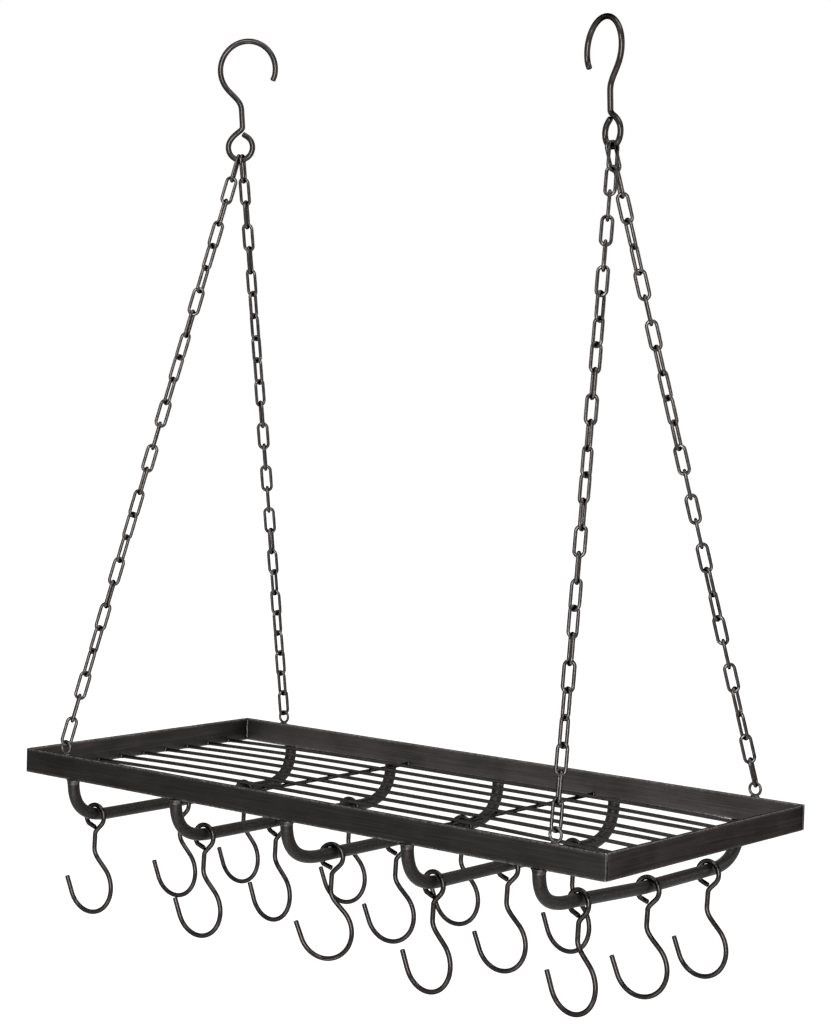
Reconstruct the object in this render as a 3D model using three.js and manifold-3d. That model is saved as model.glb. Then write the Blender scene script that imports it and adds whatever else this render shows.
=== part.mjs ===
// Hanging pot rack: a welded flat-bar shelf frame on four chains, with rails and pot hooks below it.
// Millimetres. X runs along the rack, Y from front (-) to back (+), Z up.
// The origin lies above the shelf's middle, at the height where the left ceiling hook's crook bears.
import * as THREE from 'three';
import { mergeVertices } from 'three/addons/utils/BufferGeometryUtils.js';
import Module from 'manifold-3d';

// ---------------------------------------------------------------- driving dimensions

const FRAME_LENGTH = 609.6;          // outside, along X
const FRAME_WIDTH = 279.4;           // outside, along Y
const BAR_HEIGHT = 20.64;            // flat bar on edge
const BAR_THICKNESS = 3.2;

const ROD_DIAMETER = 3.2;            // the long rods that pots stand on
const ROD_COUNT = 9;
const ROD_BOTTOM_LIFT = 0.15;        // rods' ends above the bars' lower edges
// How far each rod's right end is welded off its line, from the front rod to the back one.
const ROD_WANDER = [0, 0, -8, -1, 6, -3, 8, -1, 3];
const CROSS_WIRE_DIAMETER = 3.2;
const CROSS_WIRE_SPACING = 204;

const RAIL_DIAMETER = 10.3;
const RAIL_COUNT = 5;
const RAIL_PITCH = 123;
const RAIL_DROP = 33.36;             // bars' lower edges to the rails' axes
const RAIL_BEND_RUN = 40;            // how far in from its leg a rail turns level
const RAIL_BEND_EASE = 7.8;          // its handles: in from the leg
const RAIL_BEND_HOLD = 18.3;         // and down from the leg's top
// How much lower each rail hangs than drawn, and how far its front half rises towards its front bend.
const RAIL_SAG = [0, 0, 0, 0.8, 1.1];
const RAIL_FRONT_RISE = [0, 0, 0, 0, 4.8];

const HOOK_WIRE = 4;                 // pot hooks
const HOOK_EYE_RADIUS = 9.8;         // these radii are to the middle of the wire
const HOOK_END_OFFSET = 0.6;         // the wire's end under the eye, sideways from the rail
const HOOK_END_DROP = 12.3;          // and below it
const HOOK_STEM_OFFSET = 0.3;        // the straight stem's top, likewise
const HOOK_STEM_DROP = 17.9;
const HOOK_STEM_LENGTH = 11.5;
const HOOK_STEM_SLOPE = -0.5;        // how far sideways the stem runs on its way down
const HOOK_BOWL_RADIUS = 23.3;
const HOOK_BOWL_OFFSET = -3.8;       // bowl's centre
const HOOK_BOWL_DROP = 63.6;
const HOOK_TIP = 15;                 // straight end of the bowl
// Where the front, middle and back hook of each rail hangs, from the left rail to the right one,
// and how many degrees each is turned on its rail, about Z.
const HOOK_PLACES = [
  [-112, -8, 75],
  [-103.5, -15.5, 81.5],
  [-82.5, -1, 88],
  [-104.5, -10, 80.5],
  [-86.5, 6, 93],
];
const HOOK_TURNS = [
  [6, 3, 0],
  [4, -3, 4],
  [17, 7, 2],
  [-3, 3, -4],
  [-8, 3, -1],
];

const RING_WIRE = 2.4;               // rings on the bars' upper edges, which take the chains
const RING_RADIUS = 5.1;
const RING_X = { left: -256, right: 259.5 };  // to the rings' middles

const LINK_WIRE = 2.5;
const LINK_WIDTH = 10.6;             // outside
const LINK_PITCH = 20.5;             // inside length, which is the step from link to link
const LINK_COUNT = 26;               // in each chain, with its top link
// Degrees about Z that each link's face is turned, from the top link to the one in the ring.
const LINK_TURNS = {
  front_left: [
    34, 144, 60, 158, 88, 14, 129, 28, 98, 173, 73, 148, 43,
    148, 59, 165, 95, 15, 117, 31, 112, 8, 78, 151, 50, 150],
  back_left: [
    22, 104, 26, 110, 26, 98, 7, 86, 176, 85, 167, 57, 129,
    39, 129, 42, 129, 23, 104, 16, 103, 0, 90, 167, 85, 160],
  front_right: [
    162, 105, 35, 129, 31, 111, 177, 86, 157, 52, 144, 57, 165,
    88, 14, 107, 25, 93, 162, 54, 142, 69, 176, 98, 48, 158],
  back_right: [
    157, 52, 129, 64, 2, 129, 39, 129, 59, 166, 80, 9, 117,
    34, 129, 34, 129, 59, 176, 104, 34, 129, 10, 64, 132, 20],
};
const CHAIN_TAKE_UP = { left: 0.6, right: 4.4 };  // how much links turned like that shorten a chain

const CROOK_WIRE = 4.76;             // ceiling hooks
const CROOK_EYE_RADIUS = 10.9;       // this and the crook's radius are to the middle of the wire
const CROOK_END_RISE = 0.8;          // the wire's end in the eye, above the eye's ring
const CROOK_END_OFFSET = 1.6;        // and sideways from the eye's centre
const CROOK_FOOT_RISE = 7;           // foot of the straight stem, above the eye's ring
const CROOK_FOOT_OFFSET = 1.4;
const CROOK_STEM_LENGTH = 14.5;
const CROOK_STEM_SLOPE = -1.2;       // how far sideways the stem runs on its way up
const CROOK_RISE = 67.1;             // crook's centre above the eye's centre
const CROOK_OFFSET = 5;              // and sideways from it
const CROOK_RADIUS = 24.7;
const CROOK_TIP = 4.6;               // straight end of the crook
const CROOK_X = { left: -196.8, right: 195.7 };
const CROOK_Y = -2.5;
const CROOK_TURN = { left: 28, right: -23 };  // degrees about Z that each ceiling hook's plane is turned
const CROOK_SIDE = { left: 0, right: 180 };   // and the side that it opens to
const CROOK_LEAN = { left: 0, right: 9.7 };   // and how far it leans that way

// ---------------------------------------------------------------- clearances and facets

const WELD_GAP = 0.3;                // between neighbours that are welded or seated
const RUN_GAP = 0.3;                 // between a ring, an eye or a link and the loop that moves in it
const EYE_GAP = 0.9;                 // a top link leans in its eye, so it stands further off
const TOP_LINK_OFFSET = 2;           // two top links share an eye, each this far beside its middle
const LINK_BITE = 0.4;               // how deep the links of a taut chain reach into each other

const WIRE_SIDES = 6;
const RAIL_SIDES = 8;
const HOOK_SIDES = 5;
const LINK_SIDES = 5;
const LINK_STEPS = 8;
const RING_STEPS = 12;

const BLACK = { color: 0x2a2827, roughness: 0.5, metalness: 0.75 };
const material = {
  bar: new THREE.MeshStandardMaterial(BLACK),
  rod: new THREE.MeshStandardMaterial({ ...BLACK, roughness: 0.45 }),
  hook: new THREE.MeshStandardMaterial({ ...BLACK, color: 0x262423, roughness: 0.35 }),
  chain: new THREE.MeshStandardMaterial({ ...BLACK, color: 0x3b3937, roughness: 0.4 }),
};

// ---------------------------------------------------------------- worked-out sizes

const barMiddle = FRAME_WIDTH / 2 - BAR_THICKNESS / 2;
const innerX = FRAME_LENGTH / 2 - BAR_THICKNESS;
const innerY = FRAME_WIDTH / 2 - BAR_THICKNESS;
const railZ = -BAR_HEIGHT - RAIL_DROP;
const eyeDrop = HOOK_EYE_RADIUS - HOOK_WIRE / 2 - WELD_GAP - RAIL_DIAMETER / 2;
const ringZ = WELD_GAP + RING_WIRE / 2 + RING_RADIUS;

// A link's bends are facets, whose inner edges lie nearer the middle of the wire than its radius.
const linkReach = (LINK_WIRE / 2) * Math.cos(Math.PI / LINK_STEPS);
const linkSpan = LINK_PITCH + 2 * linkReach - LINK_BITE;
const eyeReach = CROOK_WIRE / 2 + EYE_GAP + linkReach;
const ringReach = RING_WIRE / 2 + RUN_GAP + linkReach;
const jointReach = 2 * linkReach + RUN_GAP;
const firstTaut = linkSpan - eyeReach - jointReach;
const tautCount = LINK_COUNT - 1;
const chainLength = firstTaut + (tautCount - 1) * LINK_PITCH + linkSpan - ringReach;

// How high the two chains of a side reach from their rings to the eye of their ceiling hook.
function chainRise(side) {
  const length = chainLength - CHAIN_TAKE_UP[side];
  const leanX = RING_X[side] - CROOK_X[side];
  return Math.sqrt(length ** 2 - leanX ** 2 - barMiddle ** 2 - CROOK_Y ** 2);
}

// The lowest part of each ceiling hook's eye, where its two top links hang.
const leftEyeZ = -(CROOK_EYE_RADIUS + CROOK_RISE + CROOK_RADIUS - CROOK_WIRE / 2);
const ringTopZ = leftEyeZ - chainRise('left');
const shelfZ = ringTopZ - ringZ - RING_RADIUS;
const eyeZ = { left: leftEyeZ, right: ringTopZ + chainRise('right') };

// ---------------------------------------------------------------- wires and solids

// The middle line of a bent wire, straight between the points it is given.
class WirePath extends THREE.Curve {
  constructor(points) {
    super();
    this.points = points;
    this.steps = points.length - 1;
  }

  getPoint(t, target = new THREE.Vector3()) {
    const place = t * this.steps;
    const from = Math.min(Math.floor(place + 1e-6), this.steps - 1);
    return target.lerpVectors(this.points[from], this.points[from + 1], place - from);
  }

  getPointAt(u, target) {
    return this.getPoint(u, target);
  }

  getTangentAt(u, target = new THREE.Vector3()) {
    const here = Math.round(u * this.steps);
    const before = this.points[Math.max(here - 1, 0)];
    const after = this.points[Math.min(here + 1, this.steps)];
    return target.subVectors(after, before).normalize();
  }
}

// A round section, with a corner on the side that faces the inside of a bend.
function roundSection(radius, sides) {
  const corners = [];
  for (let i = 0; i < sides; i += 1) {
    const angle = Math.PI / 2 + (2 * Math.PI * i) / sides;
    corners.push(new THREE.Vector2(radius * Math.cos(angle), radius * Math.sin(angle)));
  }
  return new THREE.Shape(corners);
}

function bentWire(points, diameter, sides = WIRE_SIDES) {
  const path = new WirePath(points);
  return new THREE.ExtrudeGeometry(roundSection(diameter / 2, sides), {
    steps: path.steps, bevelEnabled: false, extrudePath: path,
  });
}

// Points of an arc in the XZ plane.
function arc(x, z, radius, fromDegrees, toDegrees, steps) {
  const points = [];
  for (let i = 0; i <= steps; i += 1) {
    const angle = THREE.MathUtils.degToRad(fromDegrees + ((toDegrees - fromDegrees) * i) / steps);
    points.push(new THREE.Vector3(x + radius * Math.cos(angle), 0, z + radius * Math.sin(angle)));
  }
  return points;
}

// Points of a smooth curve from one end to the other, pulled towards two handles.
function sweep(start, startHandle, endHandle, end, steps) {
  return new THREE.CubicBezierCurve3(start, startHandle, endHandle, end).getPoints(steps);
}

// Runs of points as one line: where a run begins on the last one's end, that point isn't doubled.
function joined(...runs) {
  return runs.flatMap((run, i) => (i > 0 ? run.slice(1) : run));
}

// A handle for sweep, set off from a point on an arc along the wire's run there.
function alongArc(point, degrees, length) {
  const angle = THREE.MathUtils.degToRad(degrees);
  return new THREE.Vector3(point.x + length * Math.sin(angle), point.y, point.z - length * Math.cos(angle));
}

const wasm = await Module();
wasm.setup();

function toSolid(geometry) {
  const bare = geometry.clone();
  bare.deleteAttribute('normal');
  bare.deleteAttribute('uv');
  const merged = mergeVertices(bare, 1e-4);
  const vertProperties = new Float32Array(merged.attributes.position.array);
  const triVerts = new Uint32Array(merged.index.array);
  return new wasm.Manifold(new wasm.Mesh({ numProp: 3, vertProperties, triVerts }));
}

function toGeometry(solid) {
  const mesh = solid.getMesh();
  const geometry = new THREE.BufferGeometry();
  geometry.setAttribute('position', new THREE.BufferAttribute(new Float32Array(mesh.vertProperties), 3));
  geometry.setIndex(new THREE.BufferAttribute(new Uint32Array(mesh.triVerts), 1));
  geometry.computeVertexNormals();
  return geometry;
}

function addMesh(group, name, geometry, look, position = [0, 0, 0]) {
  const mesh = new THREE.Mesh(geometry, look);
  mesh.name = name;
  mesh.position.set(...position);
  group.add(mesh);
  return mesh;
}

// ---------------------------------------------------------------- shelf frame

// Four flat bars on edge: the long ones run the full length, the ends fit between them.
function addFrame(shelf) {
  const longBar = new THREE.BoxGeometry(FRAME_LENGTH, BAR_THICKNESS, BAR_HEIGHT);
  const endBar = new THREE.BoxGeometry(BAR_THICKNESS, 2 * (innerY - WELD_GAP), BAR_HEIGHT);
  const endMiddle = FRAME_LENGTH / 2 - BAR_THICKNESS / 2;
  addMesh(shelf, 'frame_front_bar', longBar, material.bar, [0, -barMiddle, -BAR_HEIGHT / 2]);
  addMesh(shelf, 'frame_back_bar', longBar, material.bar, [0, barMiddle, -BAR_HEIGHT / 2]);
  addMesh(shelf, 'frame_left_bar', endBar, material.bar, [-endMiddle, 0, -BAR_HEIGHT / 2]);
  addMesh(shelf, 'frame_right_bar', endBar, material.bar, [endMiddle, 0, -BAR_HEIGHT / 2]);
}

// Long rods between the end bars. They ride over the two cross wires, so they rise between their ends.
function addRods(shelf) {
  const endZ = -BAR_HEIGHT + ROD_BOTTOM_LIFT + ROD_DIAMETER / 2;
  const crossZ = -BAR_HEIGHT + ROD_BOTTOM_LIFT + CROSS_WIRE_DIAMETER / 2;
  const rise = crossZ + (CROSS_WIRE_DIAMETER + ROD_DIAMETER) / 2 + WELD_GAP - endZ;
  const endX = innerX - WELD_GAP;
  const crossX = CROSS_WIRE_SPACING / 2;
  const slopeSteps = 3;
  for (let i = 0; i < ROD_COUNT; i += 1) {
    const y = (i + 1 - (ROD_COUNT + 1) / 2) * (FRAME_WIDTH / (ROD_COUNT + 1));
    const wander = ROD_WANDER[i] ?? 0;
    const points = [];
    for (let side = -1; side <= 1; side += 2) {
      for (let step = 0; step <= slopeSteps; step += 1) {
        const out = side < 0 ? 1 - step / slopeSteps : step / slopeSteps;
        const drift = side > 0 ? wander * out : 0;
        points.push(new THREE.Vector3(side * (crossX + (endX - crossX) * out), y + drift,
          endZ + rise * (1 - out ** 2)));
      }
    }
    addMesh(shelf, `shelf_rod_${i + 1}`, bentWire(points, ROD_DIAMETER), material.rod);
  }
  const cross = new THREE.CylinderGeometry(
    CROSS_WIRE_DIAMETER / 2, CROSS_WIRE_DIAMETER / 2, 2 * (innerY - WELD_GAP), WIRE_SIDES);
  addMesh(shelf, 'cross_wire_left', cross, material.rod, [-crossX, 0, crossZ]);
  addMesh(shelf, 'cross_wire_right', cross, material.rod, [crossX, 0, crossZ]);
}

function railX(i) {
  return (i - (RAIL_COUNT - 1) / 2) * RAIL_PITCH;
}

// A rail's middle line: it drops from under one long bar, runs across and rises to the other.
function railPoints(i) {
  const topZ = -BAR_HEIGHT - WELD_GAP;
  const bendSteps = 5;
  const at = (y, z) => new THREE.Vector3(0, y, z);
  const levelY = barMiddle - RAIL_BEND_RUN;
  const handleY = barMiddle - RAIL_BEND_EASE;
  const levelZ = railZ - (RAIL_SAG[i] ?? 0);
  const frontZ = levelZ + (RAIL_FRONT_RISE[i] ?? 0);
  return [
    ...sweep(at(-barMiddle, topZ), at(-barMiddle, topZ - RAIL_BEND_HOLD),
      at(-handleY, frontZ), at(-levelY, frontZ), bendSteps),
    at(0, levelZ),
    ...sweep(at(levelY, levelZ), at(handleY, levelZ),
      at(barMiddle, topZ - RAIL_BEND_HOLD), at(barMiddle, topZ), bendSteps),
  ];
}

function addRails(shelf) {
  for (let i = 0; i < RAIL_COUNT; i += 1) {
    const rail = bentWire(railPoints(i), RAIL_DIAMETER, RAIL_SIDES);
    addMesh(shelf, `hook_rail_${i + 1}`, rail, material.bar, [railX(i), 0, 0]);
  }
}

// How high a rail's middle line is at a place across the shelf.
function railHeightAt(i, y) {
  const points = railPoints(i);
  const next = Math.max(points.findIndex((point) => point.y > y), 1);
  const [from, to] = [points[next - 1], points[next]];
  return THREE.MathUtils.mapLinear(y, from.y, to.y, from.z, to.z);
}

// ---------------------------------------------------------------- pot hooks

// One wire: an eye that closes to a point under the rail, a straight stem, an open bowl and a straight
// tip. The rail's axis is at 0, 0. The arcs' steps put a corner at the eye's highest point and one at
// the bowl's lowest.
function potHookGeometry() {
  const eyeStart = -136;
  const eyeEnd = -404;
  const bowlStart = 45;
  const bowlEnd = -157.5;
  const handle = { eye: 3.4, stemTop: -1.5, stemFoot: 6.9, bowl: -10.4 };
  const at = (x, z) => new THREE.Vector3(x, 0, z);
  const down = at(HOOK_STEM_SLOPE, -HOOK_STEM_LENGTH);
  const stemTop = at(HOOK_STEM_OFFSET, -HOOK_STEM_DROP);
  const stemFoot = stemTop.clone().add(down);
  down.normalize();
  const eye = arc(0, -eyeDrop, HOOK_EYE_RADIUS, eyeStart, eyeEnd, 10);
  const bowl = arc(HOOK_BOWL_OFFSET, -HOOK_BOWL_DROP, HOOK_BOWL_RADIUS, bowlStart, bowlEnd, 9);
  const eyeLeaves = eye[eye.length - 1];
  const bowlMeets = bowl[0];
  const bowlLeaves = bowl[bowl.length - 1];
  return bentWire(joined(
    [at(HOOK_END_OFFSET, -HOOK_END_DROP), ...eye],
    sweep(eyeLeaves, alongArc(eyeLeaves, eyeEnd, handle.eye),
      stemTop.clone().addScaledVector(down, handle.stemTop), stemTop, 3),
    [stemTop, stemFoot],
    sweep(stemFoot, stemFoot.clone().addScaledVector(down, handle.stemFoot),
      alongArc(bowlMeets, bowlStart, handle.bowl), bowlMeets, 3),
    bowl,
    [bowlLeaves, alongArc(bowlLeaves, bowlEnd, HOOK_TIP)],
  ), HOOK_WIRE, HOOK_SIDES);
}

function addPotHooks(shelf) {
  const geometry = potHookGeometry();
  const places = ['front', 'middle', 'back'];
  for (let i = 0; i < RAIL_COUNT; i += 1) {
    places.forEach((place, k) => {
      const y = (HOOK_PLACES[i] ?? HOOK_PLACES[0])[k];
      // The wire rests on the higher side of a rail that slopes under it.
      const z = Math.max(railHeightAt(i, y - HOOK_WIRE / 2), railHeightAt(i, y + HOOK_WIRE / 2));
      const hook = addMesh(shelf, `pot_hook_${i + 1}_${place}`, geometry, material.hook, [railX(i), y, z]);
      hook.rotation.z = THREE.MathUtils.degToRad((HOOK_TURNS[i] ?? HOOK_TURNS[0])[k]);
    });
  }
}

// ---------------------------------------------------------------- rings, chains and ceiling hooks

// A round ring standing along each long bar, near its ends.
function addRings(shelf) {
  const ring = new THREE.TorusGeometry(RING_RADIUS, RING_WIRE / 2, WIRE_SIDES, RING_STEPS);
  ring.rotateX(Math.PI / 2);
  forEachCorner((corner, side, y) => {
    addMesh(shelf, `chain_ring_${corner}`, ring, material.bar,
      [RING_X[side], y * barMiddle, ringZ]);
  });
}

function forEachCorner(visit) {
  for (const side of ['left', 'right']) {
    visit(`front_${side}`, side, -1);
    visit(`back_${side}`, side, 1);
  }
}

// A link is a faceted ring whose halves are pulled apart along Y. Its wire has a corner on the inside.
function linkGeometry() {
  const half = (LINK_WIDTH - LINK_WIRE) / 2;
  const section = [];
  for (let i = 0; i <= LINK_SIDES; i += 1) {
    const angle = Math.PI + (2 * Math.PI * (i % LINK_SIDES)) / LINK_SIDES;
    section.push(new THREE.Vector2(
      half / Math.cos(Math.PI / LINK_STEPS) + (LINK_WIRE / 2) * Math.cos(angle),
      (LINK_WIRE / 2) * Math.sin(angle)));
  }
  const link = new THREE.LatheGeometry(section, LINK_STEPS, Math.PI / LINK_STEPS);
  link.rotateX(Math.PI / 2);
  const position = link.attributes.position;
  for (let i = 0; i < position.count; i += 1) {
    const y = position.getY(i);
    position.setY(i, y + Math.sign(y) * (linkSpan / 2 - half));
  }
  return link;
}

// Puts a link with its top bend at a point, its length along the chain and its face turned as told.
function placedLink(link, top, along, acrossDegrees) {
  const angle = THREE.MathUtils.degToRad(acrossDegrees);
  const face = new THREE.Vector3(Math.cos(angle), Math.sin(angle), 0);
  face.addScaledVector(along, -face.dot(along)).normalize();
  const down = along.clone().negate();
  const across = new THREE.Vector3().crossVectors(down, face);
  const middle = top.clone().addScaledVector(along, linkSpan / 2);
  const matrix = new THREE.Matrix4().makeBasis(across, down, face).setPosition(middle);
  return link.clone().applyMatrix4(matrix);
}

// Each chain hangs from the eye of its ceiling hook: a loose top link, then links pulled taut.
function addChains(group) {
  const link = linkGeometry();
  forEachCorner((corner, side, y) => {
    const angle = THREE.MathUtils.degToRad(CROOK_TURN[side]);
    const eyeWire = new THREE.Vector3(Math.cos(angle), Math.sin(angle), 0);
    const beside = Math.sign(eyeWire.y) * y * TOP_LINK_OFFSET;
    const eye = new THREE.Vector3(CROOK_X[side], CROOK_Y, eyeZ[side]).addScaledVector(eyeWire, beside);
    const ringTop = new THREE.Vector3(RING_X[side], y * barMiddle, ringTopZ);
    const along = ringTop.clone().sub(eye);
    const length = along.length();
    along.normalize();

    const turns = LINK_TURNS[corner];
    const topLinkTop = eye.clone().addScaledVector(along, -eyeReach);
    addMesh(group, `top_link_${corner}`, placedLink(link, topLinkTop, along, turns[0]), material.chain);

    const pitch = (length + ringReach - linkSpan - firstTaut) / (tautCount - 1);
    const links = [];
    for (let i = 1; i <= tautCount; i += 1) {
      const top = eye.clone().addScaledVector(along, firstTaut + (i - 1) * pitch);
      const turn = i === tautCount ? turns[turns.length - 1] : turns[i % turns.length];
      links.push(toSolid(placedLink(link, top, along, turn)));
    }
    addMesh(group, `chain_${corner}`, toGeometry(wasm.Manifold.union(links)), material.chain);
  });
}

// One wire: an eye that its end nearly closes, a short stem and an open crook. The eye's centre is at
// 0, 0. The arcs' steps put a corner at the eye's lowest point and one at the crook's highest.
function ceilingHookGeometry() {
  const eyeEnd = -210;
  const crookStart = 213;
  const crookEnd = -12.5;
  const tipTurn = 10;
  const handle = { eye: 8.3, foot: -3.8, head: 9.2, crook: -10.3 };
  const wireEnd = new THREE.Vector3(CROOK_END_OFFSET, 0, CROOK_EYE_RADIUS + CROOK_END_RISE);
  const foot = new THREE.Vector3(CROOK_FOOT_OFFSET, 0, CROOK_EYE_RADIUS + CROOK_FOOT_RISE);
  const up = new THREE.Vector3(CROOK_STEM_SLOPE, 0, CROOK_STEM_LENGTH);
  const head = foot.clone().add(up);
  up.normalize();
  const eye = arc(0, 0, CROOK_EYE_RADIUS, 54, eyeEnd, 11);
  const crook = arc(CROOK_OFFSET, CROOK_RISE, CROOK_RADIUS, crookStart, crookEnd, 11);
  const eyeLeaves = eye[eye.length - 1];
  const crookMeets = crook[0];
  return bentWire(joined(
    [wireEnd, ...eye],
    sweep(eyeLeaves, alongArc(eyeLeaves, eyeEnd, handle.eye),
      foot.clone().addScaledVector(up, handle.foot), foot, 3),
    [foot, head],
    sweep(head, head.clone().addScaledVector(up, handle.head),
      alongArc(crookMeets, crookStart, handle.crook), crookMeets, 4),
    crook,
    [crook[crook.length - 1], alongArc(crook[crook.length - 1], crookEnd - tipTurn, CROOK_TIP)],
  ), CROOK_WIRE);
}

function addCeilingHooks(group) {
  const geometry = ceilingHookGeometry();
  for (const side of ['left', 'right']) {
    const hook = addMesh(group, `ceiling_hook_${side}`, geometry, material.hook,
      [CROOK_X[side], CROOK_Y, eyeZ[side] + CROOK_EYE_RADIUS]);
    hook.rotation.order = 'ZYX';
    hook.rotation.z = THREE.MathUtils.degToRad(CROOK_TURN[side] + CROOK_SIDE[side]);
    hook.rotation.y = THREE.MathUtils.degToRad(CROOK_LEAN[side]);
  }
}

// ---------------------------------------------------------------- assembly

const rack = new THREE.Group();
rack.name = 'hanging_pot_rack';
const shelf = new THREE.Group();
shelf.position.z = shelfZ;
rack.add(shelf);

addFrame(shelf);
addRods(shelf);
addRails(shelf);
addPotHooks(shelf);
addRings(shelf);
addChains(rack);
addCeilingHooks(rack);

export default rack;
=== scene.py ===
"""A black steel pot rack that hangs on four chains: its looks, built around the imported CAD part."""

import math

import bpy
import numpy as np
from mathutils import Matrix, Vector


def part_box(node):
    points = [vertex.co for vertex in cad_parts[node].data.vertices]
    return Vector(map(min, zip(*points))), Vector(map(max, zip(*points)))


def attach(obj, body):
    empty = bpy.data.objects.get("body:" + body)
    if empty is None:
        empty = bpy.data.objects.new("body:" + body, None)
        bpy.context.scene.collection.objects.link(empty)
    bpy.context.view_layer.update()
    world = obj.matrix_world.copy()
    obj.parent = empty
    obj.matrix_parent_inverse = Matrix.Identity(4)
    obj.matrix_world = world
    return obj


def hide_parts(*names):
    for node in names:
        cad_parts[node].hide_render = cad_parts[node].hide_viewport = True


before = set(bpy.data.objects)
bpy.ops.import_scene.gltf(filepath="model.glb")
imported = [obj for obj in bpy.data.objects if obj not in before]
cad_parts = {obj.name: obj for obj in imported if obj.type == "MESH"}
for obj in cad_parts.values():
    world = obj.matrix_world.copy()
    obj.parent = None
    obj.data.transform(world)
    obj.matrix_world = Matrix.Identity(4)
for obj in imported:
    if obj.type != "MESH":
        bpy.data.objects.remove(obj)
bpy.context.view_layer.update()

# ================================================================ frame bars
# The rim of the shelf: four lengths of hot-rolled flat bar, 21 by 3.2 mm, stood on edge. The long
# ones run the full length, and the end bars are welded in between them. Everything is brushed
# lightly and blackened, so that worn edges show a little paler. The bars share one blackened steel
# in copies that paint light and shade: the front bar's is darkest, as painted shade, and the end
# bars' and back bar's are lighter, as painted light.

FRAME_LENGTH, FRAME_WIDTH = 609.6, 279.4     # outside; sizes of pieces are in millimetres
BAR_HEIGHT, BAR_THICKNESS = 20.64, 3.2
BAR_EDGE = 0.45                              # the rolled bar's rounded edges
BAR_END = 0.8                                # and its ground ends
BAR_WAVE = 0.11                              # how uneven its faces are
EDGE_WEAR = 1.2                              # how far in from an edge a face is worn
SHELF_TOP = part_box("frame_front_bar")[1].z * 1000


def slow_wave(along, seed):
    """A smooth uneven line between 0 and 1: the mean of five sines of a place in millimetres, with
    wavelengths from 9 to 170 mm that don't divide each other, each shifted by the seed."""
    lengths = np.array([171.0, 83.0, 41.0, 19.3, 9.1])
    shares = np.array([0.34, 0.26, 0.2, 0.12, 0.08])
    shifts = seed * np.array([1.7, 2.9, 4.1, 5.3, 7.9])
    place = np.asarray(along, float)[..., None]
    return 0.5 + 0.5 * (np.sin(2 * np.pi * place / lengths + shifts) * shares).sum(-1)


def bar_section(half_thick, half_high, edge):
    """A rounded rectangle, counter-clockwise from its lower right: four quarter circles of the edge's
    radius, with points at one fixed set of shares along the straight sides between them. Gives the
    points, their outward directions and how near each is to an edge, 1 on it and 0 far from it."""
    quarter = np.linspace(0, np.pi / 2, 4)
    corners = [(1, -1, -0.5), (1, 1, 0.0), (-1, 1, 0.5), (-1, -1, 1.0)]
    shares_up = np.array([0.04, 0.1, 0.3, 0.5, 0.7, 0.9, 0.96])
    shares_across = np.array([0.25, 0.5, 0.75])
    inner = np.array([half_thick - edge, half_high - edge])
    points, outward, near = [], [], []
    for i, (sx, sz, turn) in enumerate(corners):
        angle = quarter + turn * np.pi
        away = np.stack([np.cos(angle), np.sin(angle)], -1)
        points.append(inner * (sx, sz) + edge * away)
        outward.append(away)
        near.append(np.ones(len(angle)))
        shares = shares_up if i % 2 == 0 else shares_across
        nx, nz, _ = corners[(i + 1) % 4]
        start, end = inner * (sx, sz) + edge * away[-1], inner * (nx, nz) + edge * away[-1]
        points.append(start + (end - start) * shares[:, None])
        outward.append(np.repeat(away[-1:], len(shares), 0))
        reach = np.minimum(shares, 1 - shares) * np.linalg.norm(end - start)
        near.append(np.clip(1 - reach / EDGE_WEAR, 0, 1))
    return np.concatenate(points), np.concatenate(outward), np.concatenate(near)


def skin(rings, loop=False):
    """The faces over rings of points, each ring closed on itself and joined to the next. A loop also
    joins its last ring to its first. Otherwise each end is closed by a fan to the middle of its ring."""
    count, around, _ = rings.shape
    here = np.arange(count * around).reshape(count, around)
    beside = np.roll(here, -1, 1)
    quads = np.stack([here, beside, np.roll(beside, -1, 0), np.roll(here, -1, 0)], -1)
    points = rings.reshape(-1, 3)
    if loop:
        return points, quads.reshape(-1, 4).tolist()
    first, last = len(points), len(points) + 1
    points = np.vstack([points, rings[0].mean(0), rings[-1].mean(0)])
    start = np.stack([np.full(around, first), beside[0], here[0]], -1)
    end = np.stack([np.full(around, last), here[-1], beside[-1]], -1)
    return points, quads[:-1].reshape(-1, 4).tolist() + start.tolist() + end.tolist()


def flat_bar(length, seed):
    """A flat bar along X about its own middle. Its section is carried along, drawn in towards the ends
    as a quarter circle of the end's radius, and every point sinks by an uneven depth, more at edges."""
    turn = np.linspace(np.pi / 2, 0, 5)[1:]
    head = BAR_END * (1 - np.sin(turn))
    drawn_in = BAR_END * (1 - np.cos(turn))
    body = np.linspace(BAR_END, length - BAR_END, int(length / 3.5))[1:-1]
    along = np.concatenate([head, body, (length - head)[::-1]]) - length / 2
    inset = np.concatenate([drawn_in, np.zeros_like(body), drawn_in[::-1]])
    section, outward, near = bar_section(BAR_THICKNESS / 2, BAR_HEIGHT / 2, BAR_EDGE)
    around = np.arange(len(section)) * 2.3
    uneven = slow_wave(along[:, None] + 31 * around, seed) ** 2
    depth = inset[:, None] + BAR_WAVE * (0.35 + 0.65 * near) * uneven
    place = section[None] - outward[None] * depth[..., None]
    rings = np.stack([np.broadcast_to(along[:, None], uneven.shape), place[..., 0], place[..., 1]], -1)
    points, faces = skin(rings)
    ends = np.clip(inset / BAR_END * 2, 0, 1)
    worn = np.maximum(near[None], 0.4 * ends[:, None])
    return points, faces, np.append(worn.ravel(), [0.3, 0.3])


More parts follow.
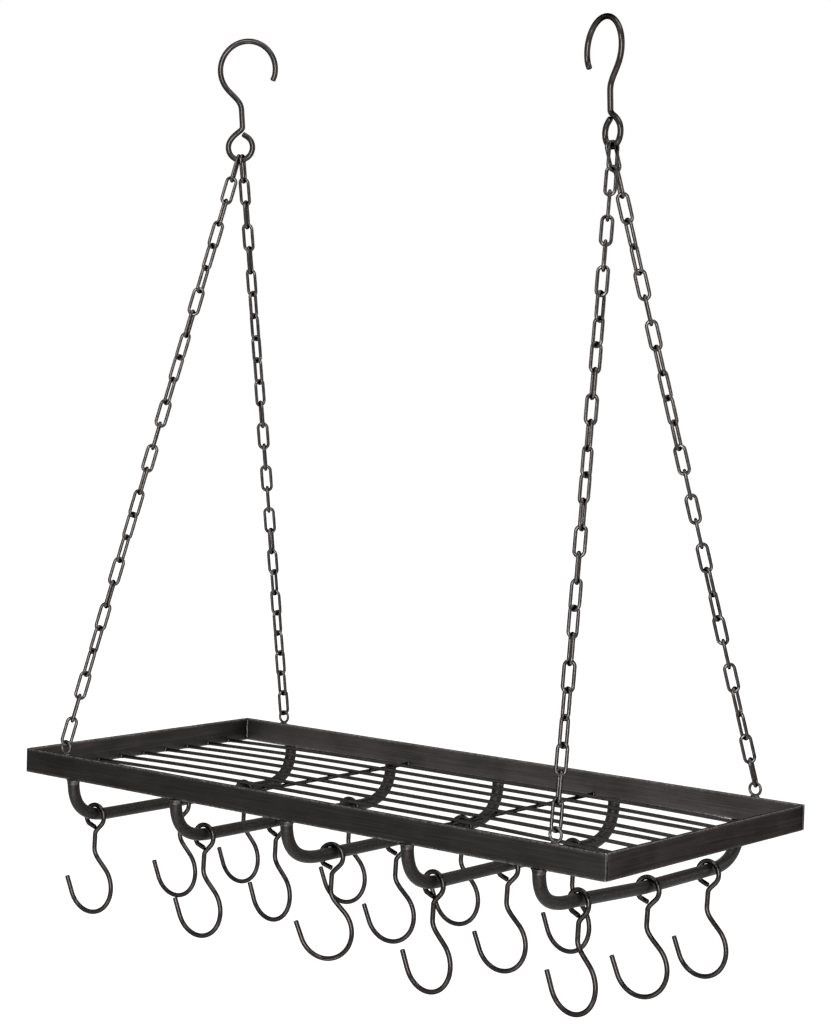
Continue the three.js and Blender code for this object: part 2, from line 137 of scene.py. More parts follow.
def blackened_steel(name, tone, rough, grain, worn_tone, bump=0.35, glance=0.12):
    """Blackened steel, whose black skin shines only by its glance where it is seen at a slant. Its
    tone drifts over a few centimetres, with a fine grain stretched by the three scales, per metre, of
    the brush marks. Where the piece's worn attribute and a mottle are both high, the black is rubbed
    through to a paler, smoother steel."""
    material = bpy.data.materials.new(name)
    material.use_nodes = True
    nodes, links = material.node_tree.nodes, material.node_tree.links
    shader = nodes["Principled BSDF"]
    shader.inputs["Metallic"].default_value = 1.0
    shader.inputs["Specular Tint"].default_value = (glance, glance, glance, 1)
    place = nodes.new("ShaderNodeTexCoord")

    def noise(scale, detail, vector, roughness=0.55):
        node = nodes.new("ShaderNodeTexNoise")
        node.inputs["Scale"].default_value = scale
        node.inputs["Detail"].default_value = detail
        node.inputs["Roughness"].default_value = roughness
        links.new(vector, node.inputs["Vector"])
        return node.outputs["Fac"]

    def spread(value, low, high, to_low, to_high):
        node = nodes.new("ShaderNodeMapRange")
        for key, number in (("From Min", low), ("From Max", high), ("To Min", to_low), ("To Max", to_high)):
            node.inputs[key].default_value = number
        links.new(value, node.inputs["Value"])
        return node.outputs["Result"]

    def combine(operation, first, second):
        node = nodes.new("ShaderNodeMath")
        node.operation = operation
        for socket, value in zip(node.inputs, (first, second)):
            if isinstance(value, float):
                socket.default_value = value
            else:
                links.new(value, socket)
        return node.outputs[0]

    def blend(share, first, second):
        node = nodes.new("ShaderNodeMix")
        node.data_type = "RGBA"
        links.new(share, node.inputs["Factor"])
        for socket, value in ((node.inputs["A"], first), (node.inputs["B"], second)):
            if isinstance(value, tuple):
                socket.default_value = (*value, 1)
            else:
                links.new(value, socket)
        return node.outputs["Result"]

    brushed = nodes.new("ShaderNodeMapping")
    brushed.inputs["Scale"].default_value = grain
    links.new(place.outputs["Object"], brushed.inputs["Vector"])
    drift = noise(34, 3, place.outputs["Object"])
    mottle = noise(420, 4, place.outputs["Object"], 0.7)
    streak = noise(1, 5, brushed.outputs["Vector"], 0.65)
    worn = nodes.new("ShaderNodeAttribute")
    worn.attribute_name = "worn"

    dark = tuple(c * 0.86 for c in tone)
    pale = tuple(c * 1.16 for c in tone)
    scratched = tuple(c * 1.9 for c in tone)
    patchy = blend(spread(drift, 0.35, 0.65, 0.0, 1.0), dark, pale)
    streaked = blend(spread(streak, 0.45, 0.75, 0.0, 0.5), patchy, scratched)
    rubbed = combine("MULTIPLY", worn.outputs["Fac"], spread(mottle, 0.42, 0.66, 0.15, 1.0))
    links.new(blend(rubbed, streaked, worn_tone), shader.inputs["Base Color"])

    matt = spread(streak, 0.3, 0.7, rough - 0.07, rough + 0.08)
    smoother = combine("MULTIPLY", rubbed, 0.08)
    links.new(combine("SUBTRACT", matt, smoother), shader.inputs["Roughness"])
    relief = combine("ADD", combine("MULTIPLY", streak, 0.6), combine("MULTIPLY", mottle, 0.5))
    raised = nodes.new("ShaderNodeBump")
    raised.inputs["Strength"].default_value = bump
    raised.inputs["Distance"].default_value = 0.00012
    links.new(relief, raised.inputs["Height"])
    links.new(raised.outputs["Normal"], shader.inputs["Normal"])
    return material


def steel_piece(name, parts, finish, body, stands_for=()):
    """Makes one mesh of (points in millimetres, faces, worn) parts, smooth shaded, with its finish, and
    hangs it on its body in the place of the CAD nodes that it stands for."""
    points, faces, worn, base = [], [], [], 0
    for part_points, part_faces, part_worn in parts:
        points.append(part_points)
        faces += [[base + i for i in face] for face in part_faces]
        worn.append(np.broadcast_to(part_worn, len(part_points)))
        base += len(part_points)
    mesh = bpy.data.meshes.new(name)
    mesh.from_pydata((np.vstack(points) / 1000).tolist(), [], faces)
    attribute = mesh.attributes.new("worn", "FLOAT", "POINT")
    attribute.data.foreach_set("value", np.concatenate(worn).astype(np.float32))
    mesh.polygons.foreach_set("use_smooth", np.ones(len(mesh.polygons), bool))
    mesh.materials.append(finish)
    piece = bpy.data.objects.new(name, mesh)
    bpy.context.scene.collection.objects.link(piece)
    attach(piece, body)
    if stands_for:
        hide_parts(*stands_for)
    return piece


# One blackened steel copied with painted light and shade. The front bar's copy is darkest, as painted
# shade. The end bars' copy is lighter. The back bar's copy is lightest, rougher and paler where worn. Both
# are painted light.
front_bar_painted_shade_steel = blackened_steel(
    "front_bar_painted_shade_steel", (0.0218, 0.0201, 0.0196), 0.42, (14, 900, 900), (0.16, 0.15, 0.14))
end_bar_painted_light_steel = blackened_steel(
    "end_bar_painted_light_steel", (0.037, 0.0332, 0.0325), 0.42, (900, 14, 900), (0.16, 0.15, 0.14))
back_bar_painted_light_steel = blackened_steel(
    "back_bar_painted_light_steel", (0.046, 0.0416, 0.0406), 0.5, (14, 900, 900), (0.2, 0.19, 0.18))

bar_middle = FRAME_WIDTH / 2 - BAR_THICKNESS / 2
end_middle = FRAME_LENGTH / 2 - BAR_THICKNESS / 2
bar_z = SHELF_TOP - BAR_HEIGHT / 2
# The front bar takes the painted shade copy and the back bar the painted light copy; the end bars below
# take their painted light copy.
long_bars = (("front", -bar_middle, 1, front_bar_painted_shade_steel), ("back", bar_middle, 2, back_bar_painted_light_steel))
for name, y, seed, finish in long_bars:
    points, faces, worn = flat_bar(FRAME_LENGTH, seed)
    steel_piece(f"rim_bar_{name}", [(points + (0, y, bar_z), faces, worn)],
                finish, "shelf", [f"frame_{name}_bar"])
quarter_turn = np.array([[0, 1, 0], [-1, 0, 0], [0, 0, 1]])
for name, x, seed in (("left", -end_middle, 3), ("right", end_middle, 4)):
    points, faces, worn = flat_bar(FRAME_WIDTH - 2 * BAR_THICKNESS + 0.2, seed)
    steel_piece(f"rim_bar_{name}", [(points @ quarter_turn + (x, 0, bar_z), faces, worn)],
                end_bar_painted_light_steel, "shelf", [f"frame_{name}_bar"])

# ================================================================ corner welds
# Each corner of the rim is welded inside with a short upright bead, and its outer seam is welded and
# ground flush. The ground steel is a little paler than the bars.

INNER_BEAD, SEAM_BEAD = 1.5, 0.7             # radii
TORCH_STEP = 1.5                             # from one dip of the torch to the next


def wire(path, radius, normal, sides=16, tip=0.0, loop=False):
    """A round wire along a path that is bent in one plane. Each ring is the path's point plus radius
    times (cosine of the angle on the plane's normal, sine of it on the direction across). A tip above 0
    rounds each end off over that length, as a quarter ellipse. A loop's end runs into its start."""
    path = np.asarray(path, float)
    radius = np.broadcast_to(radius, len(path)).astype(float)
    if loop:
        run = np.roll(path, -1, 0) - np.roll(path, 1, 0)
    else:
        run = np.gradient(path, axis=0)
    run /= np.linalg.norm(run, axis=1, keepdims=True)
    if tip > 0:
        step = np.linalg.norm(np.diff(path, axis=0), axis=1)
        done = np.concatenate([[0], np.cumsum(step)])
        kept = (done > 1.15 * tip) & (done < done[-1] - 1.15 * tip)
        turn = np.linspace(np.pi / 2, 0, 6)[1:]
        reach, slim = tip * (1 - np.sin(turn)), np.cos(turn)
        head = path[0] + run[0] * reach[:, None]
        tail = (path[-1] - run[-1] * reach[:, None])[::-1]
        path = np.vstack([head, path[kept], tail])
        run = np.vstack([np.repeat(run[:1], 5, 0), run[kept], np.repeat(run[-1:], 5, 0)])
        radius = np.concatenate([radius[0] * slim, radius[kept], radius[-1] * slim[::-1]])
    flat = np.asarray(normal, float) - run * (run @ np.asarray(normal, float))[:, None]
    flat /= np.linalg.norm(flat, axis=1, keepdims=True)
    across = np.cross(run, flat)
    angle = np.linspace(0, 2 * np.pi, sides, endpoint=False)
    ring = np.cos(angle)[None, :, None] * flat[:, None] + np.sin(angle)[None, :, None] * across[:, None]
    return skin(path[:, None] + radius[:, None, None] * ring, loop)


def weld_bead(start, end, radius, seed, worn):
    """A weld bead from one point to another: a wire whose radius swells and shrinks by a tenth with
    each dip of the torch, and wanders a little more slowly too."""
    start, end = np.asarray(start, float), np.asarray(end, float)
    length = np.linalg.norm(end - start)
    place = np.linspace(0, length, max(int(length / 0.35), 12))
    dips = 0.09 * np.sin(2 * np.pi * place / TORCH_STEP + seed)
    swell = 1 + dips + 0.2 * (slow_wave(place * 7, seed) - 0.5)
    path = start + (end - start) * (place / length)[:, None]
    points, faces = wire(path, radius * swell, (0, 1, 0), 12, radius * 0.8)
    return points, faces, np.full(len(points), worn)


weld_steel = blackened_steel(
    "weld_steel", (0.030, 0.0275, 0.0265), 0.38, (500, 500, 500), (0.15, 0.14, 0.13), 0.6)

beads = []
inner_x, inner_y = FRAME_LENGTH / 2 - BAR_THICKNESS, FRAME_WIDTH / 2 - BAR_THICKNESS
low, high = SHELF_TOP - BAR_HEIGHT + 1.2, SHELF_TOP - 0.9
for sx in (-1, 1):
    for sy in (-1, 1):
        corner = np.array([sx * (inner_x - 0.25), sy * (inner_y - 0.25), 0])
        seam = np.array([sx * (FRAME_LENGTH / 2 - SEAM_BEAD * 1.15), sy * inner_y, 0])
        beads.append(weld_bead(
            corner + (0, 0, low), corner + (0, 0, high), INNER_BEAD, 2 * sx + sy, 0.35))
        beads.append(weld_bead(
            seam + (0, 0, low - 0.5), seam + (0, 0, high + 0.3), SEAM_BEAD, sx - 3 * sy, 0.05))
steel_piece("corner_welds", beads, weld_steel, "shelf")

# ================================================================ cross wires
# Two 3.2 mm wires from long bar to long bar, under the shelf rods, which they carry.

CROSS_WIRE, CROSS_SPACING = 3.2, 204
ROD_LIFT = 0.15                              # rods' and wires' ends above the bars' lower edges
WELDED_IN = 0.2                              # how far their ends reach into the bars

wire_steel = blackened_steel(
    "wire_steel", (0.027, 0.0243, 0.0234), 0.34, (60, 900, 900), (0.13, 0.12, 0.115))

cross_z = SHELF_TOP - BAR_HEIGHT + ROD_LIFT + CROSS_WIRE / 2
for name, x in (("left", -CROSS_SPACING / 2), ("right", CROSS_SPACING / 2)):
    y = np.linspace(-inner_y - WELDED_IN, inner_y + WELDED_IN, 60)
    path = np.stack([np.full_like(y, x), y, np.full_like(y, cross_z)], -1)
    points, faces = wire(path, CROSS_WIRE / 2, (0, 0, 1), 14)
    steel_piece(f"under_wire_{name}", [(points, faces, 0.1)], wire_steel, "shelf",
                [f"cross_wire_{name}"])

# ================================================================ shelf rods
# Nine long 3.2 mm rods that pots stand on. They rise from the end bars over the cross wires, and
# some of their right ends were welded a few millimetres off their line.

ROD, ROD_COUNT = 3.2, 9
ROD_WANDER = (0, 0, -8, -1, 6, -3, 8, -1, 3)
ROD_EASE = 0.05                              # share of its right part in which a rod turns off its line

rod_end_z = SHELF_TOP - BAR_HEIGHT + ROD_LIFT + ROD / 2
rod_rise = cross_z + (CROSS_WIRE + ROD) / 2 - 0.1 - rod_end_z
# From -1 at the left end to 0 at the left cross wire, and from 0 at the right one to 1 at the right end.
out = np.concatenate([np.linspace(-1, 0, 60), np.linspace(0, 1, 60)])
half = np.repeat([-1, 1], 60)
rod_x = half * CROSS_SPACING / 2 + out * (inner_x + WELDED_IN - CROSS_SPACING / 2)
rod_z = rod_end_z + rod_rise * (1 - out ** 2)
eased = np.hypot(np.clip(out, 0, None), ROD_EASE) - ROD_EASE
rod_ends = []
for i in range(ROD_COUNT):
    y = (i + 1 - (ROD_COUNT + 1) / 2) * FRAME_WIDTH / (ROD_COUNT + 1)
    path = np.stack([rod_x, y + ROD_WANDER[i] * eased / eased[-1], rod_z], -1)
    points, faces = wire(path, ROD / 2, (0, 0, 1), 14)
    steel_piece(f"pan_rod_{i + 1}", [(points, faces, 0.16)], wire_steel, "shelf",
                [f"shelf_rod_{i + 1}"])
    rod_ends += [path[0], path[-1]]

# ================================================================ rod welds
# Every rod is tacked to both end bars, and each cross wire to both long bars, with a small blob of weld.

ROD_TACK, CROSS_TACK = (1.5, 2.3, 1.9), (2.3, 1.4, 1.8)   # half sizes along X, Y and Z


def weld_blob(centre, halves, seed):
    """A blob of weld: an ellipsoid about its centre, with half sizes along X, Y and Z, whose surface
    swells by up to a tenth with three waves around it and one from pole to pole."""
    polar = np.linspace(np.pi, 0, 9)[1:-1, None]
    around = np.linspace(0, 2 * np.pi, 14, endpoint=False)[None]
    swell = 1 + 0.08 * np.sin(3 * around + seed) * np.sin(polar) + 0.05 * np.sin(2 * polar + 2 * seed)
    rings = np.stack([np.sin(polar) * np.cos(around) * swell, np.sin(polar) * np.sin(around) * swell,
                      np.cos(polar) * swell], -1)
    points, faces = skin(rings * np.asarray(halves, float) + np.asarray(centre, float))
    return points, faces, np.full(len(points), 0.25)


tacks = [weld_blob(end - (np.sign(end[0]) * 0.3, 0, 0), ROD_TACK, 1.3 * k)
         for k, end in enumerate(rod_ends)]
for sx in (-1, 1):
    for sy in (-1, 1):
        spot = (sx * CROSS_SPACING / 2, sy * (inner_y - 0.2), cross_z)
        tacks.append(weld_blob(spot, CROSS_TACK, sx + sy))
steel_piece("rod_welds", tacks, weld_steel, "shelf")

# ================================================================ hook rails
# Five 10.3 mm round bars, each bent down at both ends and welded up under the long bars. The pot
# hooks slide along them.

RAIL, RAIL_COUNT, RAIL_PITCH, RAIL_DROP = 10.3, 5, 123, 33.36
# How far in from its leg a rail turns level, and its bend's handles, in from the leg and down from its top.
RAIL_BEND_RUN, RAIL_BEND_EASE, RAIL_BEND_HOLD = 40, 7.8, 18.3
RAIL_SAG = (0, 0, 0, 0.8, 1.1)               # how much lower each rail hangs than drawn
RAIL_FRONT_RISE = (0, 0, 0, 0, 4.8)          # and how far its front half rises towards its front bend
BEND_STEPS = 30
PART_STEP = 6                                # the CAD rail has a corner at every sixth of these steps

rail_steel = blackened_steel(
    "rail_steel", (0.0135, 0.0123, 0.0118), 0.5, (500, 30, 500), (0.11, 0.105, 0.10), 0.35, 0.9)


def curve(start, start_handle, end_handle, end, steps):
    """Points of a cubic curve from start to end that leaves and arrives along its two handles."""
    t = np.linspace(0, 1, steps + 1)[:, None]
    a, b, c, d = (np.asarray(p, float) for p in (start, start_handle, end_handle, end))
    return (1 - t) ** 3 * a + 3 * (1 - t) ** 2 * t * b + 3 * (1 - t) * t ** 2 * c + t ** 3 * d


def joined(*runs):
    """Runs of points as one line, without the point that a run shares with the one before."""
    return np.vstack([runs[0], *[run[1:] for run in runs[1:]]])


leg_top = SHELF_TOP - BAR_HEIGHT
level_y, handle_y = bar_middle - RAIL_BEND_RUN, bar_middle - RAIL_BEND_EASE


def rail_leg(level_z):
    """The front leg and bend of a rail as y, z: a curve that runs down from the bar and turns level at
    that height."""
    return curve((-bar_middle, leg_top), (-bar_middle, leg_top - RAIL_BEND_HOLD),
                 (-handle_y, level_z), (-level_y, level_z), BEND_STEPS)


rail_xs = []
hook_lines = []                              # the CAD rails' middle lines as y, z, for the pot hooks
for i in range(RAIL_COUNT):
    x = (i - (RAIL_COUNT - 1) / 2) * RAIL_PITCH
    back_z = leg_top - RAIL_DROP - RAIL_SAG[i]
    front_z = back_z + RAIL_FRONT_RISE[i]
    front_leg, back_leg = rail_leg(front_z), (rail_leg(back_z) * (-1, 1))[::-1]
    line = joined(
        front_leg,
        np.linspace((-level_y, front_z), (0, back_z), 20),
        np.linspace((0, back_z), (level_y, back_z), 20),
        back_leg)
    points, faces = wire(np.insert(line, 0, x, axis=1), RAIL / 2, (1, 0, 0), 28)
    steel_piece(f"rail_bar_{i + 1}", [(points, faces, 0.12)], rail_steel, "shelf",
                [f"hook_rail_{i + 1}"])
    rail_xs.append(x)
    hook_lines.append(np.vstack([front_leg[::PART_STEP], (0, back_z), back_leg[::PART_STEP]]))

# ================================================================ rail welds
# A fillet of weld flares from the top of each rail's leg out along the bar above it.

FILLET_HEIGHT, FILLET_FLARE = 3.5, 2.6


def leg_fillet(x, y, seed):
    """A flared collar: rings up a leg whose half size along X grows from the leg's radius as a quarter
    of a hollow curve, while the one along Y stays at the leg's, with a slight ripple around."""
    up = np.linspace(0, 1, 9)[:, None]
    around = np.linspace(0, 2 * np.pi, 28, endpoint=False)[None]
    flare = 1 - np.sqrt(1 - np.minimum(up, 0.98) ** 2)
    ripple = 0.18 * up * np.sin(5 * around + seed)
    half_x = RAIL / 2 + 0.05 + FILLET_FLARE * flare + ripple
    half_y = RAIL / 2 - 0.02 - 0.25 * up * np.abs(np.sin(3 * around + seed))
    height = np.broadcast_to(leg_top + 0.1 - FILLET_HEIGHT * (1 - up), half_x.shape)
    points, faces = skin(np.stack([x + half_x * np.cos(around), y + half_y * np.sin(around), height], -1))
    return points, faces, np.full(len(points), 0.3)


fillets = [leg_fillet(x, y, x / 40 + y) for x in rail_xs for y in (-bar_middle, bar_middle)]
steel_piece("rail_welds", fillets, weld_steel, "shelf")

# ================================================================ chain rings
# Four small rings of 2.4 mm wire stand on the long bars' top edges, each sunk in a blob of weld.
# The last link of each chain passes through its ring.

RING_WIRE, RING_RADIUS = 2.4, 5.1
RING_X = {"left": -256, "right": 259.5}
RING_LIFT = 0.3 + RING_WIRE / 2 + RING_RADIUS
RING_BLOB = (4.3, 1.5, 1.9)                  # half sizes along X, Y and Z

ring_z = SHELF_TOP + RING_LIFT
corners = [(side, face, sy) for side in ("left", "right") for face, sy in (("front", -1), ("back", 1))]
ring_blobs = []
for side, face, sy in corners:
    x, y = RING_X[side], sy * bar_middle
    angle = np.linspace(0, 2 * np.pi, 48, endpoint=False)
    path = np.stack([x + RING_RADIUS * np.cos(angle), np.full_like(angle, y),
                     ring_z + RING_RADIUS * np.sin(angle)], -1)
    points, faces = wire(path, RING_WIRE / 2, (0, 1, 0), 14, loop=True)
    steel_piece(f"lug_ring_{face}_{side}", [(points, faces, 0.45)], weld_steel, "shelf",
                [f"chain_ring_{face}_{side}"])
    ring_blobs.append(weld_blob((x, y, SHELF_TOP), RING_BLOB, x / 50 + sy))
steel_piece("ring_welds", ring_blobs, weld_steel, "shelf")

# ================================================================ ceiling hooks
# Two hooks of 4.8 mm wire, each turned into a closed round eye below and an open crook above. The
# crook hangs on a screw eye or ring in the ceiling, and the eye takes both chains of its side.

CROOK_WIRE, CROOK_EYE = 4.76, 10.9
CROOK_END = (1.6, 11.7)                      # the wire's end in the eye, from the eye's centre
CROOK_FOOT, CROOK_HEAD = (1.4, 17.9), (0.2, 32.4)   # the two ends of the straight stem
CROOK_RISE, CROOK_OFFSET, CROOK_RADIUS = 67.1, 5, 24.7
CROOK_EYE_SPAN, CROOK_SPAN = (54, -210), (213, -12.5)   # from where to where the two bends run, degrees
CROOK_TIP, CROOK_TIP_RUN = 4.6, -22.5        # length of the straight tip, and which way it runs
# The handles of the curves from the eye to the stem and from the stem to the crook.
CROOK_EASE_UP, CROOK_EASE_OUT = (8.3, 3.8), (9.2, 10.3)
CROOK_X, CROOK_Y = {"left": -196.8, "right": 195.7}, -2.5
EYE_LOW = {"left": -100.32, "right": -104.85}   # middle of the wire, at the eye's lowest
CROOK_TURN = {"left": 28, "right": -23}      # degrees
CROOK_SIDE = {"left": 0, "right": 180}       # the side that each hook opens to
CROOK_LEAN = {"left": 0, "right": 9.7}       # and how far it leans that way

crook_steel = blackened_steel(
    "crook_steel", (0.0265, 0.0243, 0.0234), 0.22, (260, 260, 260), (0.12, 0.11, 0.105), 0.06, 0.0)


def arc(x, z, radius, start, end, steps):
    """Points on a circle about x, z, from one angle to the other, in degrees."""
    angle = np.radians(np.linspace(start, end, steps + 1))
    return np.stack([x + radius * np.cos(angle), z + radius * np.sin(angle)], -1)


def off_arc(point, degrees, length):
    """A curve's handle that far from a point on an arc, along the wire's run there."""
    angle = math.radians(degrees)
    return point + length * np.array([math.sin(angle), -math.cos(angle)])


eye_ring = arc(0, 0, CROOK_EYE, *CROOK_EYE_SPAN, 60)
crook_ring = arc(CROOK_OFFSET, CROOK_RISE, CROOK_RADIUS, *CROOK_SPAN, 60)
foot, head = np.array(CROOK_FOOT), np.array(CROOK_HEAD)
stem_run = (head - foot) / np.linalg.norm(head - foot)
crook_line = joined(
    np.linspace(CROOK_END, eye_ring[0], 8),
    eye_ring,
    curve(eye_ring[-1], off_arc(eye_ring[-1], CROOK_EYE_SPAN[1], CROOK_EASE_UP[0]),
          foot - CROOK_EASE_UP[1] * stem_run, foot, 16),
    np.linspace(foot, head, 14),
    curve(head, head + CROOK_EASE_OUT[0] * stem_run,
          off_arc(crook_ring[0], CROOK_SPAN[0], -CROOK_EASE_OUT[1]), crook_ring[0], 20),
    crook_ring,
    np.linspace(crook_ring[-1], off_arc(crook_ring[-1], CROOK_TIP_RUN, CROOK_TIP), 6))
for side in ("left", "right"):
    turn = Matrix.Rotation(math.radians(CROOK_TURN[side] + CROOK_SIDE[side]), 3, "Z")
    lean = Matrix.Rotation(math.radians(CROOK_LEAN[side]), 3, "Y")
    place = np.array(turn @ lean)
    eye_centre = (CROOK_X[side], CROOK_Y, EYE_LOW[side] + CROOK_EYE)
    path = np.insert(crook_line, 1, 0.0, axis=1) @ place.T + eye_centre
    points, faces = wire(path, CROOK_WIRE / 2, place @ (0, 1, 0), 24, 1.0)
    steel_piece(f"top_hook_{side}", [(points, faces, 0.04)], crook_steel, "ceiling_hooks",
                [f"ceiling_hook_{side}"])

# ================================================================ chains
# Four chains of 26 welded links of 2.9 mm wire, from the eyes of the ceiling hooks to the rings. Each
# link was bent from cut wire and closed with a butt weld in the middle of one long side. The bends
# are rubbed paler than the sides.

LINK_WIRE, LINK_WIDTH, LINK_COUNT = 2.85, 10.95, 26
LINK_SIDES = 10                              # corners around the wire
LINK_BESIDE = 2                              # the two top links in an eye, either side of its middle
LINK_TURNS = {                               # degrees that each link's face is turned, top link first
    "front_left": (34, 144, 60, 158, 88, 14, 129, 28, 98, 173, 73, 148, 43,
                   148, 59, 165, 95, 15, 117, 31, 112, 8, 78, 151, 50, 150),
    "back_left": (22, 104, 26, 110, 26, 98, 7, 86, 176, 85, 167, 57, 129,
                  39, 129, 42, 129, 23, 104, 16, 103, 0, 90, 167, 85, 160),
    "front_right": (162, 105, 35, 129, 31, 111, 177, 86, 157, 52, 144, 57, 165,
                    88, 14, 107, 25, 93, 162, 54, 142, 69, 176, 98, 48, 158),
    "back_right": (157, 52, 129, 64, 2, 129, 39, 129, 59, 166, 80, 9, 117,
                   34, 129, 34, 129, 59, 176, 104, 34, 129, 10, 64, 132, 20)}

chain_steel = blackened_steel(
    "chain_steel", (0.031, 0.0283, 0.0272), 0.22, (420, 420, 420), (0.125, 0.117, 0.112), 0.18, 0.0)


def chain_link(middle, along, face, span):
    """One link: a wire along a stadium, two half circles joined by straight sides, of the span from the
    middle of one bend's wire to the other's. Its section thickens by a tenth at the butt weld."""
    half = (LINK_WIDTH - LINK_WIRE) / 2
    straight = span / 2 - half
    bend = np.radians(np.linspace(0, 180, 13))
    side_run = np.linspace(-straight, straight, 8)[1:-1]
    top = np.stack([half * np.cos(bend), straight + half * np.sin(bend)], -1)
    left = np.stack([np.full_like(side_run, -half), -side_run], -1)
    outline = np.vstack([top, left, -top, -left])
    weld = np.exp(-((outline[:, 1] / 1.1) ** 2)) * (outline[:, 0] > half * 0.9)
    across = np.cross(along, face)
    path = middle + outline[:, :1] * across + outline[:, 1:] * along
    points, faces = wire(path, LINK_WIRE / 2 * (1 + 0.1 * weld), face, LINK_SIDES, loop=True)
    rubbed = 0.12 + 0.5 * np.clip(np.abs(outline[:, 1]) / (span / 2) * 2 - 1, 0, 1)
    return points, faces, np.repeat(rubbed, LINK_SIDES)


for side, face_name, sy in corners:
    corner = f"{face_name}_{side}"
    turn = math.radians(CROOK_TURN[side])
    eye_run = np.array([math.cos(turn), math.sin(turn), 0])
    eye_at = np.array([CROOK_X[side], CROOK_Y, EYE_LOW[side]])
    eye_at = eye_at + eye_run * np.sign(eye_run[1]) * sy * LINK_BESIDE
    ring_top = np.array([RING_X[side], sy * bar_middle, ring_z + RING_RADIUS])
    along = ring_top - eye_at
    distance = np.linalg.norm(along)
    along /= distance
    first = -(CROOK_WIRE + LINK_WIRE) / 2
    last = distance + (RING_WIRE + LINK_WIRE) / 2
    pitch = (last - first - LINK_WIRE) / LINK_COUNT
    span = pitch + LINK_WIRE
    links_made = []
    for k in range(LINK_COUNT):
        facing = math.radians(LINK_TURNS[corner][k])
        face = np.array([math.cos(facing), math.sin(facing), 0])
        face -= along * (face @ along)
        face /= np.linalg.norm(face)
        links_made.append(chain_link(eye_at + along * (first + pitch * k + span / 2), along, face, span))
    steel_piece(f"hook_link_{corner}", links_made[:1], chain_steel, "top_links",
                [f"top_link_{corner}"])
    steel_piece(f"link_chain_{corner}", links_made[1:], chain_steel, f"{side}_chains",
                [f"chain_{corner}"])

# ================================================================ pot hooks
# Fifteen hooks of 4 mm wire, three on each rail: an eye that closes to a point under the rail, a
# straight stem and an open bowl with a straight tip, which takes the ring of a pan's handle. Their
# ends are cut square and slightly rounded.

HOOK_WIRE, HOOK_EYE = 4, 9.8
HOOK_END = (0.5, -12.3)                      # the wire's end under the eye, from the rail
HOOK_STEM_TOP, HOOK_STEM_FOOT = (0.3, -17.9), (-0.2, -29.4)
HOOK_BOWL = 23.0                             # a little tighter than the CAD part's, to stay in its box
HOOK_BOWL_OFFSET, HOOK_BOWL_DROP = -3.8, 63.6   # the bowl's centre, from the rail
HOOK_TIP = 15                                # the bowl's straight end
HOOK_EYE_SPAN, HOOK_BOWL_SPAN = (-136, -404), (45, -157.5)   # degrees
HOOK_EASE_DOWN, HOOK_EASE_OUT = (4.5, 2.5), (6.9, 10.4)      # handles, at the stem's top and foot
HOOK_CLEARANCE = 0.05                        # between the eye and the rail
HOOK_PLACES = ((-112, -8, 75), (-103.5, -15.5, 81.5), (-82.5, -1, 88), (-104.5, -10, 80.5),
               (-86.5, 6, 93))
HOOK_TURNS = ((6, 3, 0), (4, -3, 4), (17, 7, 2), (-3, 3, -4), (-8, 3, -1))   # degrees

hook_steel = blackened_steel(
    "hook_steel", (0.0225, 0.0204, 0.0195), 0.22, (260, 260, 260), (0.12, 0.11, 0.105), 0.06, 0.0)

eye_z = HOOK_WIRE / 2 + RAIL / 2 + HOOK_CLEARANCE - HOOK_EYE
eye_ring = arc(0, eye_z, HOOK_EYE, *HOOK_EYE_SPAN, 60)
bowl_ring = arc(HOOK_BOWL_OFFSET, -HOOK_BOWL_DROP, HOOK_BOWL, *HOOK_BOWL_SPAN, 70)
stem_top, stem_foot = np.array(HOOK_STEM_TOP), np.array(HOOK_STEM_FOOT)
stem_run = (stem_foot - stem_top) / np.linalg.norm(stem_foot - stem_top)
hook_line = joined(
    np.linspace(HOOK_END, eye_ring[0], 10),
    eye_ring,
    curve(eye_ring[-1], off_arc(eye_ring[-1], HOOK_EYE_SPAN[1], HOOK_EASE_DOWN[0]),
          stem_top - HOOK_EASE_DOWN[1] * stem_run, stem_top, 14),
    np.linspace(stem_top, stem_foot, 12),
    curve(stem_foot, stem_foot + HOOK_EASE_OUT[0] * stem_run,
          off_arc(bowl_ring[0], HOOK_BOWL_SPAN[0], -HOOK_EASE_OUT[1]), bowl_ring[0], 18),
    bowl_ring,
    np.linspace(bowl_ring[-1], off_arc(bowl_ring[-1], HOOK_BOWL_SPAN[1], HOOK_TIP), 14))
for i, x in enumerate(rail_xs):
    for name, y, turned in zip(("front", "middle", "back"), HOOK_PLACES[i], HOOK_TURNS[i]):
        z = np.interp([y - HOOK_WIRE / 2, y + HOOK_WIRE / 2], *hook_lines[i].T).max()
        turn = np.array(Matrix.Rotation(math.radians(turned), 3, "Z"))
        path = np.insert(hook_line, 1, 0.0, axis=1) @ turn.T + (x, y, z)
        points, faces = wire(path, HOOK_WIRE / 2, turn @ (0, 1, 0), 18, 0.7)
        steel_piece(f"pan_hook_{i + 1}_{name}", [(points, faces, 0.05)], hook_steel,
                    f"pot_hook_{i + 1}_{name}", [f"pot_hook_{i + 1}_{name}"])

# ================================================================ floor and light
# A pale floor far below the hanging rack, a white surround and soft studio lamps. The floor and the
# surround look white to the camera and in reflections, and light the rack at a plain level.

FLOOR_DROP, FLOOR_REACH = 2.25, 30           # metres below the ceiling hooks, and out from its middle


def background_rays(nodes, links):
    """The socket that is 1 for rays that show the background: from the camera, or off or through a
    piece. It is the largest of the three tests."""
    path = nodes.new("ShaderNodeLightPath")
    shown = path.outputs["Is Camera Ray"]
    for test in ("Is Glossy Ray", "Is Transmission Ray"):
        either = nodes.new("ShaderNodeMath")
        either.operation = "MAXIMUM"
        links.new(shown, either.inputs[0])
        links.new(path.outputs[test], either.inputs[1])
        shown = either.outputs[0]
    return shown


